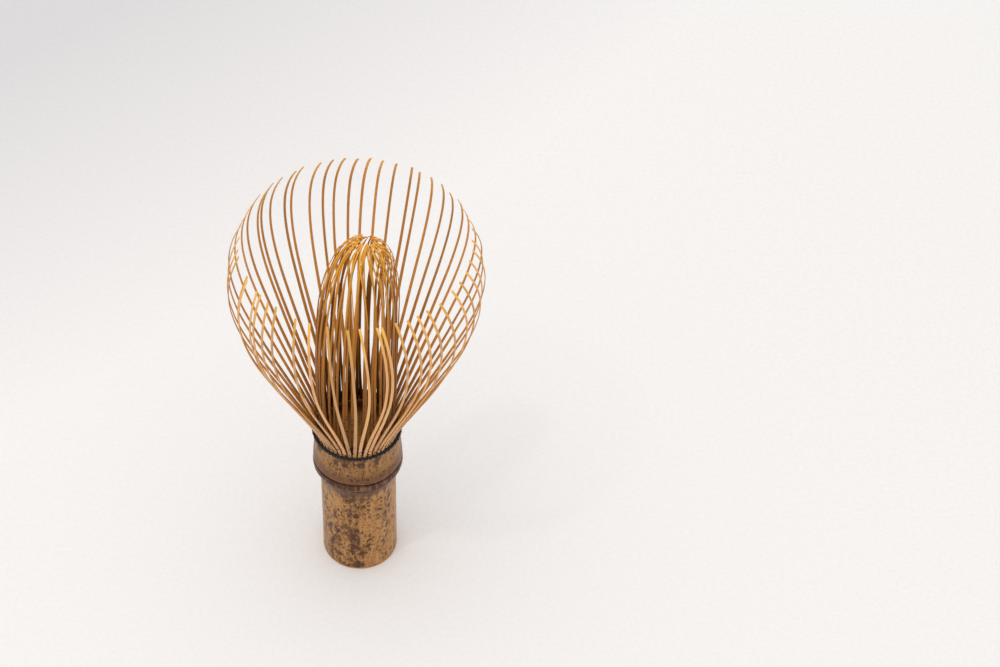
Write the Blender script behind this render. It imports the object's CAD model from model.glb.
# %% [markdown]
# # A bamboo tea whisk
# One length of bamboo makes this whisk. The lower part stays a solid handle. Above the node the wall is
# split into fine leaves, called tines: the outer ones flare into a basket and the inner ones close into a
# cage, with black cotton thread laced between them. The measured model holds the sizes and the joints, so
# the lesson starts by loading it, and every piece made here is placed from it.

# %% Load the measured whisk
import math
import random

import bpy
import numpy as np
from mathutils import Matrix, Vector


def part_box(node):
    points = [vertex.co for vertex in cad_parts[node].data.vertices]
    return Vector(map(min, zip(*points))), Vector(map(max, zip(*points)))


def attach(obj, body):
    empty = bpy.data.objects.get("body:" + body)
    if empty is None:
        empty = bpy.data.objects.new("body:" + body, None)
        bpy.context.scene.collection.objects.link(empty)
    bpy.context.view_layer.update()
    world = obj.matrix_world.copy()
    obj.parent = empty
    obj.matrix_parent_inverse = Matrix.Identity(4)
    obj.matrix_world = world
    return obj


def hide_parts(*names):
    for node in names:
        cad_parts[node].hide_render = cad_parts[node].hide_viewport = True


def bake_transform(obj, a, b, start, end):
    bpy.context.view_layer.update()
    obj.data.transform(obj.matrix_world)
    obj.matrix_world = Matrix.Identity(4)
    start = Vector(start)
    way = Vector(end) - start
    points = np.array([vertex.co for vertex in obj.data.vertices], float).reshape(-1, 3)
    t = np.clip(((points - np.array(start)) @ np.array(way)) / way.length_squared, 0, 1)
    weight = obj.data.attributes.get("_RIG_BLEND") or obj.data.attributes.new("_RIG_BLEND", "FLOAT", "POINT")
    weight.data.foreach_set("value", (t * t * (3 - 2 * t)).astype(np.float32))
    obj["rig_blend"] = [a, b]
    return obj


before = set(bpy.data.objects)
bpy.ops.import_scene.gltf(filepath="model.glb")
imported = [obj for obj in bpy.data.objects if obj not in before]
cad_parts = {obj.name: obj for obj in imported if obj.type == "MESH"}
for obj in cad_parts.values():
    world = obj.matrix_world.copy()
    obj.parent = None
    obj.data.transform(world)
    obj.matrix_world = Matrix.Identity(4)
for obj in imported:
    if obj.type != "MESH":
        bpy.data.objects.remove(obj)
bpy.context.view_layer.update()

MM = 0.001

# %% [markdown]
# ## Small tools
# Colours are written as hex codes, the way a paint chart gives them, but Cycles adds light in linear
# values. One function turns the first into the second. Another adds a shader node, sets it and wires it,
# so a material reads like a recipe from top to bottom.

# %% Colours and shader nodes
def paint(code, alpha=1.0):
    """Hex colour to the linear colour that Cycles works in."""
    parts = [int(code[i:i + 2], 16) / 255 for i in (1, 3, 5)]
    linear = [p / 12.92 if p <= 0.04045 else ((p + 0.055) / 1.055) ** 2.4 for p in parts]
    return (*linear, alpha)


def add(tree, kind, inputs=None, **settings):
    """Add one node. inputs maps a socket to a value or to another node's output."""
    node = tree.nodes.new("ShaderNode" + kind)
    for name, value in settings.items():
        setattr(node, name, value)
    for socket, value in (inputs or {}).items():
        if isinstance(value, bpy.types.NodeSocket):
            tree.links.new(value, node.inputs[socket])
        else:
            node.inputs[socket].default_value = value
    return node


def ramp(tree, factor, stops, kind="LINEAR"):
    """Colour ramp from (position, colour) pairs, read at factor."""
    node = add(tree, "ValToRGB", {"Fac": factor})
    node.color_ramp.interpolation = kind
    while len(node.color_ramp.elements) < len(stops):
        node.color_ramp.elements.new(0.5)
    for element, (position, colour) in zip(node.color_ramp.elements, stops):
        element.position = position
        element.color = colour
    return node.outputs["Color"]


def grey(value):
    return (value, value, value, 1.0)


def new_material(name):
    material = bpy.data.materials.new(name)
    material.use_nodes = True
    tree = material.node_tree
    tree.nodes.clear()
    shader = add(tree, "BsdfPrincipled")
    add(tree, "OutputMaterial", {"Surface": shader.outputs["BSDF"]})
    return material, tree, shader


def blend_colours(tree, factor, a, b, mode="MIX"):
    node = add(tree, "Mix", data_type="RGBA", blend_type=mode)
    for index, value in ((0, factor), (6, a), (7, b)):
        if isinstance(value, bpy.types.NodeSocket):
            tree.links.new(value, node.inputs[index])
        else:
            node.inputs[index].default_value = value
    return node.outputs[2]


def maths(tree, operation, a, b=0.0, c=0.0, clamp=False):
    node = add(tree, "Math", {0: a, 1: b, 2: c}, operation=operation, use_clamp=clamp)
    return node.outputs[0]


print("tools ready; pure white is", paint("#FFFFFF")[:3])

# %% [markdown]
# ## Spotted bamboo skin
# The handle is *goma-dake* style bamboo: a tan, satin skin with purple-brown flecks where a fungus fed on
# the living culm. It was washed, dried and smoked, never varnished, so its gloss is soft and a little
# uneven. Its fibres run straight up, so every pattern is stretched along Z. The mesh will carry painted
# masks (how many flecks, how dark), and the shader breaks those masks up with noise, which keeps the
# flecks sharp without a picture file.

# %% Bamboo skin of the handle
FIBRE_PER_M = 1 / (0.45 * MM)      # one vascular bundle every 0.45 mm round the culm
FLECK_PER_M = 1 / (1.5 * MM)       # a patch of flecks is about 1.5 mm across
DOT_PER_M = 1 / (1.05 * MM)        # single dots sit about 1 mm apart
SPECKLE_PER_M = 1 / (0.55 * MM)    # fine speckle, about half a millimetre


def make_handle_skin():
    material, tree, shader = new_material("goma bamboo skin")
    place = add(tree, "TexCoord").outputs["Object"]

    def stretched(x, y, z):
        return add(tree, "Mapping", {"Vector": place, "Scale": (x, y, z)}).outputs["Vector"]

    def mask(name):
        return add(tree, "Attribute", attribute_name=name).outputs["Fac"]

    flecks, ring, haze, pith, smoke, dark = (mask(m) for m in ("flecks", "ring", "haze", "pith", "smoke", "dark"))
    # tan ground with faint upright streaks
    streak = add(tree, "TexNoise", {"Vector": stretched(1, 1, 0.06), "Scale": FIBRE_PER_M * 0.8,
                                    "Detail": 5.0, "Roughness": 0.6}).outputs["Fac"]
    cloud = add(tree, "TexNoise", {"Vector": stretched(1, 1, 0.5), "Scale": 160.0, "Detail": 3.0}).outputs["Fac"]
    ground = ramp(tree, streak, [(0.3, paint("#A3713F")), (0.5, paint("#BD8A52")), (0.72, paint("#CFA06C"))])
    ground = blend_colours(tree, maths(tree, "MULTIPLY", cloud, 0.55), ground, paint("#A2723F"))
    # patches of flecks: noise against a threshold that the painted mask lowers
    patch = add(tree, "TexNoise", {"Vector": stretched(1, 1, 0.72), "Scale": FLECK_PER_M, "Detail": 6.0,
                                   "Roughness": 0.72, "Distortion": 0.4}).outputs["Fac"]
    level = maths(tree, "SUBTRACT", patch, maths(tree, "MULTIPLY_ADD", flecks, -0.14, 0.605))
    patch_mask = maths(tree, "MULTIPLY", level, 18.0, clamp=True)
    # fine speckle between the patches
    speckle = add(tree, "TexNoise", {"Vector": stretched(1, 1, 0.8), "Scale": SPECKLE_PER_M, "Detail": 4.0,
                                     "Roughness": 0.6}).outputs["Fac"]
    fine = maths(tree, "SUBTRACT", speckle, maths(tree, "MULTIPLY_ADD", flecks, -0.12, 0.585))
    fine = maths(tree, "MULTIPLY", fine, 14.0, clamp=True)
    # single dots: one per cell, most cells left empty where the mask is low
    cell = add(tree, "TexVoronoi", {"Vector": stretched(1, 1, 0.75), "Scale": DOT_PER_M, "Randomness": 1.0})
    lot = add(tree, "SeparateColor", {"Color": cell.outputs["Color"]}).outputs["Red"]
    size = maths(tree, "MULTIPLY", maths(tree, "SUBTRACT", maths(tree, "MULTIPLY_ADD", flecks, 0.5, 0.34), lot), 1.0)
    dots = maths(tree, "MULTIPLY", maths(tree, "SUBTRACT", size, cell.outputs["Distance"]), 9.0, clamp=True)
    spotted = maths(tree, "MAXIMUM", patch_mask, maths(tree, "MULTIPLY", dots, 0.85))
    spotted = maths(tree, "MAXIMUM", spotted, maths(tree, "MULTIPLY", fine, 0.68))
    halo = maths(tree, "MULTIPLY", maths(tree, "ADD", level, 0.07), 6.0, clamp=True)
    skin = blend_colours(tree, maths(tree, "MULTIPLY", halo, 0.55), ground, paint("#82542F"))
    skin = blend_colours(tree, maths(tree, "MULTIPLY", smoke, 0.8), skin, paint("#613A1F"))
    skin = blend_colours(tree, maths(tree, "MULTIPLY", spotted, 0.85), skin, paint("#3E2016"))
    # grey-brown bloom under the node, with a ragged lower edge
    rag = add(tree, "TexNoise", {"Vector": stretched(1, 1, 0.45), "Scale": 620.0, "Detail": 5.0,
                                 "Roughness": 0.7}).outputs["Fac"]
    bloom = maths(tree, "MULTIPLY", maths(tree, "SUBTRACT", maths(tree, "ADD", haze, rag), 1.0), 4.0, clamp=True)
    skin = blend_colours(tree, maths(tree, "MULTIPLY", bloom, 0.85), skin, paint("#46281A"))
    # the node ring itself
    ring_tone = ramp(tree, rag, [(0.3, paint("#33180C")), (0.5, paint("#5A341F")), (0.7, paint("#A27B57"))])
    skin = blend_colours(tree, ring, skin, ring_tone)
    skin = blend_colours(tree, dark, skin, paint("#140905"))
    # pale pith on the cut faces and inside
    fibre = add(tree, "TexVoronoi", {"Vector": place, "Scale": FIBRE_PER_M * 1.2}).outputs["Distance"]
    inside = ramp(tree, fibre, [(0.0, paint("#6B4A24")), (0.35, paint("#B07C38")), (0.8, paint("#C08E46"))])
    inside = blend_colours(tree, smoke, inside, paint("#2C1806"))
    skin = blend_colours(tree, pith, skin, inside)
    tree.links.new(skin, shader.inputs["Base Color"])
    shine = maths(tree, "MULTIPLY_ADD", pith, 0.3, maths(tree, "MULTIPLY_ADD", cloud, 0.22, 0.3))
    tree.links.new(shine, shader.inputs["Roughness"])
    shader.inputs["IOR"].default_value = 1.45
    shader.inputs["Specular IOR Level"].default_value = 0.12
    shader.inputs["Coat Weight"].default_value = 0.16
    shader.inputs["Coat Roughness"].default_value = 0.28
    height = maths(tree, "ADD", maths(tree, "MULTIPLY", streak, 0.8), maths(tree, "MULTIPLY", rag, 0.5))
    bump = add(tree, "Bump", {"Height": height, "Strength": 0.35, "Distance": 0.09 * MM})
    tree.links.new(bump.outputs["Normal"], shader.inputs["Normal"])
    return material


handle_skin = make_handle_skin()
print("made", handle_skin.name)

# %% [markdown]
# ## Split bamboo of the tines
# A tine keeps a strip of the culm's skin on its outer face; its other faces are freshly split wood,
# browner and grained along the strip. The maker shaves the last stretch paper-thin, which bares golden
# wood. Two painted values steer this: *along* runs from 0 at the root to 1 at the tip, and *skin* is 1 on
# the outer face. A third, *lot*, is one random number per tine, so that no two are quite the same brown.

# %% Outer and inner tine wood
def make_tine_wood(name, skin_root, skin_mid, split_root, split_mid, tip, tip_from, speck):
    material, tree, shader = new_material(name)
    place = add(tree, "Attribute", attribute_name="fibre").outputs["Vector"]
    grain_place = add(tree, "Mapping", {"Vector": place, "Scale": (4.5, 0.16, 1)}).outputs["Vector"]
    along = add(tree, "Attribute", attribute_name="along").outputs["Fac"]
    outer = add(tree, "Attribute", attribute_name="skin").outputs["Fac"]
    lot = add(tree, "Attribute", attribute_name="lot").outputs["Fac"]
    grain = add(tree, "TexNoise", {"Vector": grain_place, "Scale": 1.0, "Detail": 4.0,
                                   "Roughness": 0.65}).outputs["Fac"]
    skin = ramp(tree, along, [(0.0, paint(skin_root)), (0.45, paint(skin_mid)), (tip_from, paint(skin_mid)),
                              (1.0, paint(tip))])
    split = ramp(tree, along, [(0.0, paint(split_root)), (0.35, paint(split_mid)), (tip_from, paint(split_mid)),
                               (1.0, paint(tip))])
    wood = blend_colours(tree, outer, split, skin)
    tone = maths(tree, "MULTIPLY_ADD", lot, 0.34, maths(tree, "MULTIPLY_ADD", grain, 0.5, 0.58))
    shade = add(tree, "CombineColor", {"Red": tone, "Green": tone, "Blue": tone}).outputs["Color"]
    wood = blend_colours(tree, 1.0, wood, shade, "MULTIPLY")
    # flecks of the culm's skin run on into the lower half of the outer faces
    cell = add(tree, "TexVoronoi", {"Vector": place, "Scale": 1 / 0.62, "Randomness": 1.0})
    draw = add(tree, "SeparateColor", {"Color": cell.outputs["Color"]}).outputs["Green"]
    reach = maths(tree, "MULTIPLY_ADD", along, -1.5 * speck, 0.75 * speck)
    near = maths(tree, "MULTIPLY", maths(tree, "SUBTRACT", reach, draw), 1.45)
    dots = maths(tree, "MULTIPLY", maths(tree, "SUBTRACT", near, cell.outputs["Distance"]), 9.0, clamp=True)
    dots = maths(tree, "MULTIPLY", dots, maths(tree, "MULTIPLY_ADD", outer, 0.75, 0.2))
    wood = blend_colours(tree, dots, wood, paint("#3A2018"))
    tree.links.new(wood, shader.inputs["Base Color"])
    tree.links.new(maths(tree, "MULTIPLY_ADD", grain, 0.25, 0.35), shader.inputs["Roughness"])
    shader.inputs["IOR"].default_value = 1.5
    shader.inputs["Specular IOR Level"].default_value = 0.25
    # thin shaved wood lets a little light through
    shader.inputs["Subsurface Weight"].default_value = 0.12
    shader.inputs["Subsurface Radius"].default_value = (0.6 * MM, 0.3 * MM, 0.12 * MM)
    shader.inputs["Subsurface Scale"].default_value = 1.0
    bump = add(tree, "Bump", {"Height": grain, "Strength": 0.25, "Distance": 0.04 * MM})
    tree.links.new(bump.outputs["Normal"], shader.inputs["Normal"])
    return material


outer_wood = make_tine_wood("split bamboo, outer tine", "#C8966E", "#D8A468", "#B47A42", "#C88C44",
                            "#EDB65A", 0.8, 1.0)
inner_wood = make_tine_wood("split bamboo, inner tine", "#5A3610", "#B4762A", "#3A2003", "#9C6015",
                            "#F0B040", 0.5, 0.95)
print("made", outer_wood.name, "and", inner_wood.name)

# %% [markdown]
# ## Black cotton thread
# The thread is mercerised cotton, two plies twisted together and dyed black. Cotton is matt with a faint
# sheen from its loose fibres, so the shader has high roughness and a little sheen, and the twist itself
# is real geometry, made further down.

# %% Cotton
def make_cotton():
    material, tree, shader = new_material("black cotton thread")
    place = add(tree, "TexCoord").outputs["Object"]
    fuzz = add(tree, "TexNoise", {"Vector": place, "Scale": 1 / (0.16 * MM), "Detail": 4.0}).outputs["Fac"]
    tone = ramp(tree, fuzz, [(0.35, paint("#0E0D0E")), (0.7, paint("#2B282A"))])
    tree.links.new(tone, shader.inputs["Base Color"])
    shader.inputs["Roughness"].default_value = 0.82
    shader.inputs["Sheen Weight"].default_value = 0.12
    shader.inputs["Sheen Roughness"].default_value = 0.5
    bump = add(tree, "Bump", {"Height": fuzz, "Strength": 0.6, "Distance": 0.05 * MM})
    tree.links.new(bump.outputs["Normal"], shader.inputs["Normal"])
    return material


cotton = make_cotton()
print("made", cotton.name)

# %% [markdown]
# ## The handle
# The handle is a body of revolution that nature drew freehand. A lathe profile gives the grip, the node
# ring between its two grooves, the short barrel, the rim and the hollow inside. Plain spinning would look
# machined, so each ring of points is nudged a few hundredths of a millimetre: a slightly oval culm, a
# wavy edge on the node and shallow upright flutes. The painted masks of the skin are filled in on the same
# pass, because only here do we know each point's angle and height.

# %% Handle mesh
low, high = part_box("culm")
RIM_Z = high[2] / MM
GRIP_R = 10.0
NODE_R = (high[0] - low[0]) / 2 / MM
NODE_Z = 36.0
HOLLOW_R = 7.0
INNER_R = 9.35


def handle_profile():
    """(radius, height, sort) from the hollow's top, round the foot, up the skin and down to the septum."""
    inside_low = [(0.02, 37.9), (2.5, 37.7), (5.0, 37.1), (6.4, 36.3), (HOLLOW_R, 35.4), (HOLLOW_R, 28), (HOLLOW_R, 20),
                  (HOLLOW_R, 12), (HOLLOW_R, 6), (HOLLOW_R, 2), (HOLLOW_R, 0.5), (HOLLOW_R + 0.25, 0.05)]
    foot = [(8.0, 0.0), (9.0, 0.0), (9.65, 0.02), (9.88, 0.14), (9.97, 0.34)]
    grip = [(GRIP_R - 0.02 * math.sin(math.pi * z / 27), z) for z in np.linspace(0.7, 27.5, 42)]
    flare = [(10.02, 28.6), (10.08, 29.7), (10.2, 30.8), (10.36, 31.8), (10.58, 32.7), (10.82, 33.4), (11.02, 33.95)]
    groove = [(11.1, 34.3), (11.08, 34.5), (11.0, 34.68), (11.02, 34.84), (11.25, 34.98)]
    ring = [(11.55, 35.12), (11.78, 35.32), (11.9, 35.65), (11.95, 36.1), (11.93, 36.5), (11.88, 36.9),
            (11.8, 37.15), (11.84, 37.3), (11.8, 37.42)]
    upper = [(11.6, 37.52), (11.42, 37.62), (11.38, 37.74), (11.5, 37.88), (11.7, 38.05), (11.82, 38.3)]
    barrel = [(11.82, 38.7), (11.8, 39.2), (11.76, 39.8), (11.7, 40.5), (11.64, 41.3), (11.57, 42.2), (11.5, 43.1),
              (11.43, 44.0), (11.37, 44.9), (11.31, 45.8), (11.26, 46.7), (11.22, 47.5), (11.2, 48.0), (11.15, 48.22)]
    rim = [(11.0, RIM_Z), (10.5, RIM_Z), (9.9, RIM_Z), (INNER_R, RIM_Z), (9.25, 48.1), (9.2, 47.2), (9.1, 46.0), (9.02, 45.0),
           (8.95, 44.3), (8.7, 43.8), (8.15, 43.4), (7.5, 43.15), (6.8, 43.03), (6.0, 42.92), (5.2, 42.8),
           (4.2, 42.66), (3.0, 42.58), (1.5, 42.54), (0.02, 42.52)]
    rows = []
    for kind, part in (("pith", inside_low), ("cut", foot), ("skin", grip + flare), ("groove", groove),
                       ("ring", ring), ("groove", upper), ("skin", barrel), ("pith", rim)):
        rows += [(r, z, kind) for r, z in part]
    return rows


def bell(value, centre, width):
    return math.exp(-((value - centre) / width) ** 2)


def fleck_density(front_deg, z):
    """How thick the flecks lie: front_deg is 0 at the front and grows to the right, z in mm."""
    streak = bell(front_deg, -6 + 5 * math.sin(z / 4.0), 17) * (0.72 + 0.28 * math.sin(z * 0.9))
    side = 0.5 * bell(front_deg, -38, 14) * bell(z, 8, 12) + 0.35 * bell(front_deg, -60, 12)
    side += 0.4 * bell(front_deg, 50, 8) * bell(z, 22, 9) + 0.45 * bell(front_deg, 150, 30) + 0.4 * bell(front_deg, -130, 26)
    density = 0.3 + 0.82 * streak + side
    if z > 38:
        crown = bell(z, 46.6, 2.6)
        patches = bell(front_deg, -30, 11) + 1.15 * bell(front_deg, -9, 9) + 1.1 * bell(front_deg, 8, 8)
        patches += 0.8 * bell(front_deg, 30, 6) + 0.6 * bell(front_deg, -58, 9) + 0.7 * bell(front_deg, 140, 40)
        density = 0.12 + 0.95 * crown * patches + 0.2 * bell(front_deg, 0, 60) * bell(z, 41, 3)
    return min(1.0, density)


def make_handle():
    around = 256
    rows = handle_profile()
    vertices, faces = [], []
    masks = {"flecks": [], "ring": [], "haze": [], "pith": [], "smoke": [], "dark": []}
    for r, z, kind in rows:
        for k in range(around):
            a = 2 * math.pi * k / around
            front_deg = (math.degrees(a) + 90 + 180) % 360 - 180
            oval = 0.05 * math.cos(2 * a + 0.6) + 0.03 * math.cos(3 * a + 1.9)
            flutes = 0.012 * math.sin(19 * a + 2 * math.sin(3 * a)) + 0.008 * math.sin(43 * a)
            wave = 0.13 * math.sin(3 * a + 0.8) + 0.07 * math.sin(7 * a) + 0.035 * math.sin(17 * a + 1.0)
            on_node = bell(z, NODE_Z + 0.2, 2.6)
            outside = kind in ("skin", "ring", "groove")
            radius = r + (min(0.0, oval + flutes) if r < 11.9 else 0.0) * (1.0 if outside else 0.0)
            height = z + (wave * on_node if outside else 0.0)
            if kind == "pith" and z > 40 and r < 8.5:
                height += 0.06 * math.sin(r * 5.2) + 0.05 * math.sin(3 * a) * r / 8
            if kind == "ring":
                radius -= 0.04 * max(0.0, math.sin(11 * a + 4 * math.sin(2 * a)))
            vertices.append((radius * math.cos(a) * MM, radius * math.sin(a) * MM, height * MM))
            masks["flecks"].append(fleck_density(front_deg, z) if kind == "skin" else 0.0)
            masks["ring"].append(1.0 if kind in ("ring", "groove") else (0.8 * bell(z, NODE_Z + 0.2, 2.0) if outside else 0.0))
            crease = max(bell(z, 35.0, 0.36), 0.95 * bell(z, 37.7, 0.26)) + 0.5 * bell(z, 37.2, 0.1)
            masks["dark"].append(min(1.0, crease) if outside else 0.0)
            barrel = 0.75 * bell(z, 39.2, 2.6) + 0.35 + 0.5 * max(0.0, abs(front_deg) - 40) / 90 * bell(z, 40, 5)
            wall = 0.9 * bell(z, 46.6, 2.2) if kind == "pith" and z > 43 and r < 9.3 else 0.0
            masks["smoke"].append(min(1.0, barrel) if kind == "skin" and z > 37.8 else wall)
            reach = 7.5 + 5.5 * bell(front_deg, -8, 34) + 0.9 * math.sin(9 * a)
            below = max(0.0, 1 - (34.4 - z) / reach) if z < 35 else 0.6 * max(0.0, 1 - (z - 38) / 3.5)
            masks["haze"].append(min(1.0, 0.95 * below) if outside else 0.0)
            masks["pith"].append(1.0 if kind in ("pith", "cut") else 0.0)
    for i in range(len(rows) - 1):
        for k in range(around):
            n = (k + 1) % around
            faces.append((i * around + k, i * around + n, (i + 1) * around + n, (i + 1) * around + k))
    faces.append(tuple(range(around - 1, -1, -1)))
    last = (len(rows) - 1) * around
    faces.append(tuple(range(last, last + around)))
    mesh = bpy.data.meshes.new("handle")
    mesh.from_pydata(vertices, [], faces)
    for name, values in masks.items():
        mesh.attributes.new(name, "FLOAT", "POINT").data.foreach_set("value", values)
    mesh.shade_smooth()
    mesh.set_sharp_from_angle(angle=math.radians(50))
    mesh.materials.append(handle_skin)
    handle = bpy.data.objects.new("handle", mesh)
    bpy.context.scene.collection.objects.link(handle)
    return handle


handle = make_handle()
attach(handle, "root")
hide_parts("culm")
print("handle", len(handle.data.vertices), "points")

# %% [markdown]
# ## The line of a tine
# Seen from the side, every outer tine follows one curve: a straight flare, a round shoulder and a tip that
# curls in, because the maker heats and bends each strip. The cage tines rise almost straight and close
# into a dome. Both curves are given as a few points with a smooth line through them, the same ones that the
# measured model uses, so the finer strips made here lie on its tines. The last line compares the two.

# %% Curves of the basket and the cage
TINES = 52
PITCH_DEG = 360 / TINES
FIRST_DEG = -1.0
ROOT_Z, ROOT_R = 48.34, 10.95
TIP_Z, BULB_R = 119.6, 32.3
CAGE_ROOT_Z, CAGE_R, CAGE_TOP_Z = 48.34, 10.7, 120.6
TIP_SWIRL, SWIRL_SPREAD, SWIRL_MOST_DEG = 5.5, 2.5, 30.0
BASKET_LEAN, CAGE_LEAN = 0.9, 4.0
SWAY_DEG = [4, 4.5, 5, 5.5, 6, 5.5, 4.5, 4.5, 4.5, 4.5, 2, 3, 3, 2.5, 1.5, 1, -0.5, -1, 1, -2, -1, -2.5, -6, -6.5,
            -7.5, -6.5, -5.5, -4.5, -3.5, -5.5, 1.5, -3.5, -1.5, -5.5, -6, -8, -2.5, -2, 0.5, 3.5, 3, 4.5, 0, 0.5,
            0, -1.5, -2, -1, 2.5, 2.5, 3, 4]
OUTER_SHAPE = [(0, 0), (0.03, 0.018), (0.105, 0.125), (0.246, 0.345), (0.415, 0.612), (0.584, 0.846),
               (0.724, 0.972), (0.837, 1), (0.928, 0.948), (1, 0.85)]
INNER_SHAPE = [(0, 0.92), (0.1, 0.945), (0.24, 0.985), (0.42, 1), (0.6, 0.99), (0.74, 0.935),
               (0.86, 0.785), (0.95, 0.5), (1, 0.15)]


def curve_at(points, u):
    """Point of the smooth line through points, u from 0 to 1."""
    last = len(points) - 1
    k = max(0, min(last - 1, int(u * last)))
    t = u * last - k
    p0, p1, p2, p3 = (points[min(last, max(0, j))] for j in (k - 1, k, k + 1, k + 2))
    return [0.5 * (2 * b + (c - a) * t + (2 * a - 5 * b + 4 * c - d) * t * t + (3 * b - a - 3 * c + d) * t ** 3)
            for a, b, c, d in zip(p0, p1, p2, p3)]


def ease(t):
    t = max(0.0, min(1.0, t))
    return t * t * (3 - 2 * t)


def mix(a, b, t):
    return a + (b - a) * t


def frame_at(point, u, step=0.004):
    """Place, side direction and outward direction of a strip whose centre line is point(u)."""
    before, here, after = (np.array(point(v)) for v in (max(0.0, u - step), u, min(1.0, u + step)))
    run = (after - before) / np.linalg.norm(after - before)
    return here, run


def outer_line(n):
    """Centre line of outer tine n in mm, as a function of u."""
    reach = 1 + 0.012 * math.sin(math.radians(n * 137))
    start = FIRST_DEG + (n - 1) * PITCH_DEG
    swirl = TIP_SWIRL + SWIRL_SPREAD * math.cos(math.radians(start - SWIRL_MOST_DEG))

    def point(u):
        rise, spread = curve_at(OUTER_SHAPE, u)
        r = ROOT_R + spread * (BULB_R - ROOT_R) * reach
        z = ROOT_Z + rise * (TIP_Z - ROOT_Z)
        a = math.radians(start + SWAY_DEG[n - 1] * ease(u / 0.55) - swirl * u ** 4)
        return (r * math.cos(a) + BASKET_LEAN * rise, r * math.sin(a), z)

    return point


widest = [outer_line(1)(u) for u in np.linspace(0, 1, 60)]
low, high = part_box("outer_tine_01")
print("tine 1 reaches x =", round(max(p[0] for p in widest), 2), "mm; measured", round(high[0] / MM, 2))

# %% [markdown]
# ## Building strips
# A tine is a ribbon with eased edges: a faintly domed skin side, two sides planed square and a flat inner
# face, a little narrower. The function below sweeps that section along a line and closes the tip with a
# rounded end. It also writes the painted values for the wood shader: *along*, *skin*, *lot*, and *fibre*,
# a private coordinate system (across, along, tine) in millimetres in which the grain is drawn.

# %% The ribbon sweep
SECTION = [(-0.44, 0.0, 1.0), (-0.2, 0.05, 1.0), (0.2, 0.05, 1.0), (0.44, 0.0, 1.0), (0.5, -0.16, 0.35),
           (0.45, -0.84, 0.0), (0.38, -1.0, 0.0), (0.0, -1.02, 0.0), (-0.38, -1.0, 0.0), (-0.45, -0.84, 0.0),
           (-0.5, -0.16, 0.35)]


class Ribbons:
    """Collects swept strips into one mesh."""

    def __init__(self):
        self.points, self.faces = [], []
        self.values = {"along": [], "skin": [], "lot": []}
        self.fibre = []

    def sweep(self, line, width, thickness, axis_shift, lot, rings=46, first=0.0, stop=1.0, wobble=None):
        """line(u) in mm; width and thickness are functions of u; axis_shift(z) is the head's lean in x."""
        start = len(self.points)
        length = 0.0
        previous = None
        us = [first + (stop - first) * k / rings for k in range(rings)] + [stop * (1 - 0.004), stop * (1 - 0.0015), stop]
        for index, u in enumerate(us):
            here, run = frame_at(line, u)
            if wobble is not None:
                here = here + wobble(u)
            radial = np.array([here[0] - axis_shift(here[2]), here[1], 0.0])
            side = np.cross((0.0, 0.0, 1.0), radial)
            side /= max(1e-9, np.linalg.norm(side))
            side = side - run * float(side @ run)
            side /= np.linalg.norm(side)
            out = np.cross(side, run)
            length += 0.0 if previous is None else float(np.linalg.norm(here - previous))
            previous = here
            w, t = width(u / stop), thickness(u / stop)
            left = len(us) - 1 - index
            if left < 3:
                w *= (0.55, 0.82, 0.95)[left]
                t *= (0.6, 0.85, 1.0)[left]
            for s, o, on_skin in SECTION:
                p = here + side * (s * w) + out * (o * t)
                self.points.append(tuple(p * MM))
                self.values["along"].append(u)
                self.values["skin"].append(on_skin)
                self.values["lot"].append(lot)
                self.fibre += [s * w, length, 40.0 * lot]
        k = len(SECTION)
        for i in range(len(us) - 1):
            a, b = start + i * k, start + (i + 1) * k
            for j in range(k):
                m = (j + 1) % k
                self.faces.append((a + j, b + j, b + m, a + m))
        self.faces.append(tuple(start + j for j in range(k)))
        end = start + (len(us) - 1) * k
        self.faces.append(tuple(end + j for j in range(k - 1, -1, -1)))

    def build(self, name, material):
        mesh = bpy.data.meshes.new(name)
        mesh.from_pydata(self.points, [], self.faces)
        for key, values in self.values.items():
            mesh.attributes.new(key, "FLOAT", "POINT").data.foreach_set("value", values)
        mesh.attributes.new("fibre", "FLOAT_VECTOR", "POINT").data.foreach_set("vector", self.fibre)
        mesh.shade_smooth()
        mesh.set_sharp_from_angle(angle=math.radians(40))
        mesh.materials.append(material)
        piece = bpy.data.objects.new(name, mesh)
        bpy.context.scene.collection.objects.link(piece)
        return piece


print("section of a tine:", len(SECTION), "points")

# %% [markdown]
# ## The basket: fifty-two outer tines
# Hand splitting is never exact. Each strip gets its own width, a slow waver of a tenth of a millimetre and
# its own shade.

# %% Outer tines
def basket_lean(z):
    return BASKET_LEAN * (z - ROOT_Z) / (TIP_Z - ROOT_Z)


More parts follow.
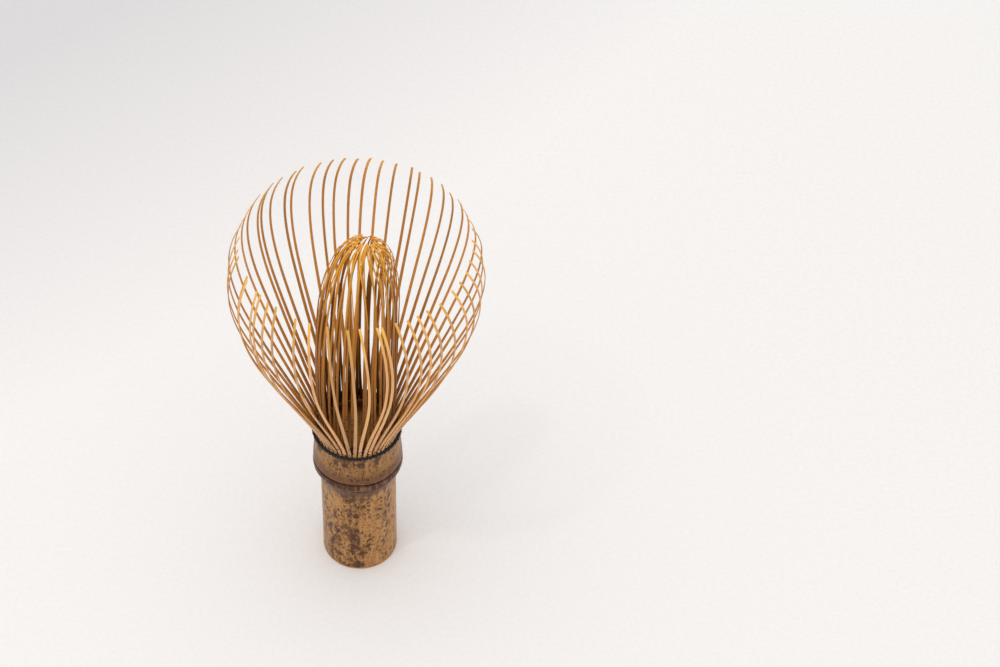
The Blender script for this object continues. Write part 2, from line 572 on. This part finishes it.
def make_outer_tine(n):
    dice = random.Random(700 + n)
    broad, phase, slow = dice.uniform(0.95, 1.06), dice.uniform(0, 6.28), dice.uniform(1.5, 2.6)
    a = math.radians(FIRST_DEG + (n - 1) * PITCH_DEG)
    across, outward = np.array([-math.sin(a), math.cos(a), 0.0]), np.array([math.cos(a), math.sin(a), 0.0])
    amount_side, amount_out = dice.uniform(0.05, 0.15), dice.uniform(-0.1, 0.1)

    def width(u):
        taper = mix(1.0, 0.72, ease((u - 0.22) / 0.45))
        return 0.94 * broad * taper * (1 + 0.03 * math.sin(9 * u + phase))

    def thickness(u):
        return 0.55 * mix(1.0, 0.42, ease(u / 0.75)) * mix(1, 0.7, ease((u - 0.85) / 0.15))

    def wobble(u):
        hold = ease(u / 0.35)
        return (across * amount_side * math.sin(slow * 3.1 * u + phase) + outward * amount_out * math.sin(5 * u + phase)) * hold

    ribbons = Ribbons()
    ribbons.sweep(outer_line(n), width, thickness, basket_lean, dice.random(), rings=48, wobble=wobble)
    name = f"outer_tine_{n:02d}"
    piece = ribbons.build("tine_" + name[-2:], outer_wood)
    group = f"group_{(n - 1) // 4 + 1:02d}"
    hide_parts(name)
    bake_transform(piece, "root", group, start=(0, 0, 0.0487), end=(0, 0, 0.080))
    return piece


basket = [make_outer_tine(n) for n in range(1, TINES + 1)]
print("outer tines:", len(basket), "in", len({tuple(p["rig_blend"]) for p in basket}), "groups")

# %% [markdown]
# ## The cage: locks of inner tines
# The inner tines are the narrow strips bent inward while the wide ones went out. In use they cling together
# in locks, with slits between, and at the top their shaved ends tangle into a small golden ridge. Every
# strip keeps its place in the measured cage at the foot; higher up the slits push it aside, it turns with
# the swirl, and it slips a little under or over its neighbours.

# %% Inner tines
def cage_lean(z):
    return CAGE_LEAN * (max(0.0, z - ROOT_Z) / (TIP_Z - ROOT_Z)) ** 3


def inner_line(start_deg, swirl, bunch_deg, sink, power=2.0):
    def point(u):
        rise, spread = curve_at(INNER_SHAPE, u)
        z = CAGE_ROOT_Z + rise * (CAGE_TOP_Z - CAGE_ROOT_Z) - sink * 0.55 * ease((u - 0.75) / 0.25)
        r = max(0.3, CAGE_R * spread - sink * ease((u - 0.2) / 0.5))
        a = math.radians(start_deg + bunch_deg * ease(u / 0.3) - swirl * (max(0.0, u - 0.5) / 0.5) ** power)
        return (r * math.cos(a) + cage_lean(z), r * math.sin(a), z)

    return point


LOCKS = 4
IN_LOCK = TINES // LOCKS
# slits between the bunches: direction of the slit and how far it pushes the strips aside, both in degrees
SLITS = [(-83, 6.5), (-68, 3), (-55, 2.5), (-97, 2.5), (-110, 3.5), (-123, 3), (-136, 3.5),
         (84, 4), (70, 3.5), (57, 3), (98, 3.5), (111, 3.5), (124, 3), (137, 3.5), (25, 2), (-25, 2), (180, 2)]


def slit_push(direction):
    """Degrees that the slits push a strip standing at this direction."""
    push = 0.0
    for slit, amount in SLITS:
        away = (direction - slit + 180) % 360 - 180
        push += math.copysign(amount * math.exp(-abs(away) / 5.0), away)
    return push


def sweep_inner(ribbons, start, swirl, bunch, sink, stop, wide, ridge, dice):
    """One strip of the cage; wide is its width in mm at the foot, ridge how far its tip joins the ridge."""
    phase = dice.uniform(0, 6.28)
    a = math.radians(start)
    across = np.array([-math.sin(a), math.cos(a), 0.0])
    joins = np.array([-2.2, -0.4, -0.8]) * ridge

    def width(u):
        narrow = mix(1.0, 0.94, ease(u / 0.3)) * mix(1.0, 0.56, ease((u - 0.5) / 0.42))
        return wide * narrow * (1 + 0.05 * math.sin(11 * u + phase))

    def thickness(u):
        return mix(0.48, 0.15, ease(u / 0.85))

    def wobble(u):
        return across * 0.14 * math.sin(7 * u + phase) * ease((u - 0.1) / 0.3) + joins * ease((u - 0.7) / 0.3)

    ribbons.sweep(inner_line(start, swirl, bunch, sink), width, thickness, cage_lean, dice.random(),
                  rings=56, stop=stop, wobble=wobble)


def sweep_fibre(ribbons, start, swirl, bunch, sink, ridge, dice):
    """A thin fibre that splits from a strip half-way up and crosses the others near the top."""
    joins = np.array([-2.2, -0.4, -0.8]) * ridge
    phase = dice.uniform(0, 6.28)

    def wobble(u):
        loose = ease((u - 0.62) / 0.2)
        return joins * ease((u - 0.7) / 0.3) + np.array([0.18, 0.15, 0.0]) * math.sin(9 * u + phase) * loose

    ribbons.sweep(inner_line(start, swirl, bunch, sink), lambda u: 0.28, lambda u: 0.13, cage_lean,
                  dice.uniform(0.6, 1.0), rings=34, first=0.58, stop=dice.uniform(0.92, 1.0), wobble=wobble)


def make_lock(lock):
    ribbons = Ribbons()
    for k in range(IN_LOCK):
        i = (lock - 1) * IN_LOCK + k
        n = i + 1
        dice = random.Random(4100 + n)
        start = FIRST_DEG + (i + 0.5) * PITCH_DEG + 0.6 * math.sin(math.radians(n * 151))
        bunch = slit_push(start) + dice.uniform(-0.4, 0.4)
        swirl = (26, 48, 14, 36)[i % 4] + dice.uniform(-7, 7)
        sink = (0.0, 0.7, 0.35, 0.9)[i % 4] + dice.uniform(0, 0.25)
        stop = (1.0, 0.975, 0.96, 0.985)[i % 4] - dice.uniform(0, 0.015)
        ridge = max(0.0, -math.cos(math.radians(start + 12))) ** 0.5 * dice.uniform(0.2, 1.0)
        sweep_inner(ribbons, start, swirl, bunch, sink, stop, 0.8 * dice.uniform(0.82, 1.0), ridge, dice)
        if dice.random() < 0.34:
            sweep_fibre(ribbons, start, dice.choice((-44, 58, 78, 96)) + dice.uniform(-9, 9), bunch,
                        dice.uniform(-0.3, 0.6), ridge, dice)
    piece = ribbons.build(f"cage_lock_{lock}", inner_wood)
    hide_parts(f"inner_tines_{lock}")
    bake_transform(piece, "root", "cage", start=(0, 0, 0.0484), end=(0, 0, 0.0492))
    return piece


cage = [make_lock(lock) for lock in range(1, LOCKS + 1)]
print("cage locks:", len(cage))

# %% [markdown]
# ## Twisted thread
# Both threads are the same two-ply cotton. A ply is a thin tube that winds round the cord's own centre
# line, so the cord gets the diagonal bumps of real twist. The lower thread is one turn against the rim;
# it swells a little in front of each root. The upper one climbs round the foot of the cage in one run.

# %% Cords
TWIST_MM = 1.7


def make_cord(name, line, turns, steps, closed, ply_r, ply_off):
    """Two plies of radius ply_r round line(t), t from 0 to turns, in mm."""
    points, faces = [], []
    section = 8
    for ply in (0, 1):
        start = len(points)
        count = steps if closed else steps + 1
        ts = [turns * k / steps for k in range(count)]
        centre = [np.array(line(t)) for t in ts]
        whole = sum(np.linalg.norm(centre[k + 1] - centre[k]) for k in range(len(centre) - 1))
        twists = max(1, round(whole / TWIST_MM))
        for k, t in enumerate(ts):
            ahead = np.array(line(t + 1e-3)) - np.array(line(t - 1e-3))
            run = ahead / np.linalg.norm(ahead)
            radial = np.array([centre[k][0], centre[k][1], 0.0])
            radial /= np.linalg.norm(radial)
            radial -= run * float(radial @ run)
            radial /= np.linalg.norm(radial)
            up = np.cross(run, radial)
            spin = 2 * math.pi * twists * k / steps + math.pi * ply
            middle = centre[k] + (radial * math.cos(spin) + up * math.sin(spin)) * ply_off
            for j in range(section):
                b = 2 * math.pi * j / section
                points.append(tuple((middle + (radial * math.cos(b) + up * math.sin(b)) * ply_r) * MM))
        for k in range(steps):
            a, b = start + k * section, start + ((k + 1) % count) * section
            for j in range(section):
                m = (j + 1) % section
                faces.append((a + j, a + m, b + m, b + j))
        if not closed:
            faces.append(tuple(start + j for j in range(section - 1, -1, -1)))
            end = start + steps * section
            faces.append(tuple(end + j for j in range(section)))
    mesh = bpy.data.meshes.new(name)
    mesh.from_pydata(points, [], faces)
    mesh.shade_smooth()
    mesh.materials.append(cotton)
    cord = bpy.data.objects.new(name, mesh)
    bpy.context.scene.collection.objects.link(cord)
    return cord


def lower_line(t):
    a = 2 * math.pi * t
    r = 11.47 + 0.05 * math.cos(TINES * a)
    return (r * math.cos(a), r * math.sin(a), 48.5 + 0.05 * math.sin(5 * a + 1) + 0.05 * math.sin(TINES * a))


def upper_line(t):
    a = 2 * math.pi * t
    r = 10.13 + 0.03 * t
    return (r * math.cos(a), r * math.sin(a), 49.6 + 0.42 * t)


lower_cord = make_cord("lower_cord", lower_line, 1, 624, True, 0.29, 0.2)
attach(lower_cord, "root")
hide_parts("lower_thread")
upper_cord = make_cord("upper_cord", upper_line, 5, 1560, False, 0.135, 0.115)
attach(upper_cord, "cage")
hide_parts("upper_thread")
print("cords:", lower_cord.name, upper_cord.name)

# %% [markdown]
# ## Floor, light and camera
# The whisk stands on a seamless pale sheet under broad, soft light: an even white surround and one large
# lamp behind it on the left, which leaves a faint wide shadow on the right. The camera looks down at
# 48.5 degrees through a long lens, so the handle and the basket keep almost parallel lines.

# %% Studio
def make_floor():
    material, tree, shader = new_material("pale paper floor")
    place = add(tree, "TexCoord").outputs["Object"]
    fibre = add(tree, "TexNoise", {"Vector": place, "Scale": 900.0, "Detail": 3.0}).outputs["Fac"]
    tone = ramp(tree, fibre, [(0.3, paint("#F3F2F2")), (0.7, paint("#F8F6F5"))])
    # the light falls off slowly towards the far left of the sheet
    far = add(tree, "VectorMath", {0: place, 1: (-0.5, 0.7, 0)}, operation="DISTANCE").outputs["Value"]
    corner = ramp(tree, far, [(0.4, paint("#DFDEE1")), (0.64, paint("#E6E5E8")), (0.77, paint("#FFFFFF"))])
    tone = blend_colours(tree, 1.0, tone, corner, "MULTIPLY")
    tree.links.new(tone, shader.inputs["Base Color"])
    shader.inputs["Roughness"].default_value = 0.9
    shader.inputs["Specular IOR Level"].default_value = 0.1
    size = 3.0
    mesh = bpy.data.meshes.new("floor")
    mesh.from_pydata([(-size, -size, 0), (size, -size, 0), (size, size, 0), (-size, size, 0)], [], [(0, 1, 2, 3)])
    mesh.materials.append(material)
    floor = bpy.data.objects.new("floor", mesh)
    bpy.context.scene.collection.objects.link(floor)


def make_softbox(name, place, aim, size, power, colour):
    light = bpy.data.lights.new(name, "AREA")
    light.shape = "DISK"
    light.size = size
    light.energy = power
    light.color = paint(colour)[:3]
    lamp = bpy.data.objects.new(name, light)
    bpy.context.scene.collection.objects.link(lamp)
    from mathutils import Vector
    lamp.location = place
    lamp.rotation_euler = (Vector(aim) - Vector(place)).to_track_quat("-Z", "Y").to_euler()
    return lamp


def make_camera():
    """A camera pitched 48.5 degrees down and rolled 1.1, 0.957 m from the foot along its view."""
    pitch, roll = math.radians(48.5), math.radians(1.1)
    view = np.array([0.0, math.cos(pitch), -math.sin(pitch)])
    right = np.array([1.0, 0.0, 0.0])
    up = np.cross(right, view)
    right2 = math.cos(roll) * right + math.sin(roll) * up
    up2 = -math.sin(roll) * right + math.cos(roll) * up
    foot = (-0.0382, -0.0565, 0.957)
    place = -(foot[0] * right2 + foot[1] * up2 + foot[2] * view)
    from mathutils import Matrix
    axes = Matrix((right2, up2, -view)).transposed().to_4x4()
    axes.translation = place
    data = bpy.data.cameras.new("camera")
    data.lens, data.sensor_width = 126.0, 36.0
    camera = bpy.data.objects.new("camera", data)
    camera.matrix_world = axes
    bpy.context.scene.collection.objects.link(camera)
    bpy.context.scene.camera = camera


make_floor()
make_softbox("small lamp", (-0.36, -0.38, 1.12), (0, 0, 0.05), 0.07, 1.0, "#FFFAF4")
make_softbox("broad softbox", (-0.2, -0.1, 1.35), (0, 0, 0.05), 1.3, 2.2, "#FFFCF8")
make_camera()
world = bpy.data.worlds.new("studio surround")
bpy.context.scene.world = world
world.use_nodes = True
surround = world.node_tree.nodes["Background"]
surround.inputs["Color"].default_value = paint("#FCFBFA")
surround.inputs["Strength"].default_value = 0.9
bpy.context.scene.view_settings.view_transform = "Standard"
print("studio ready")
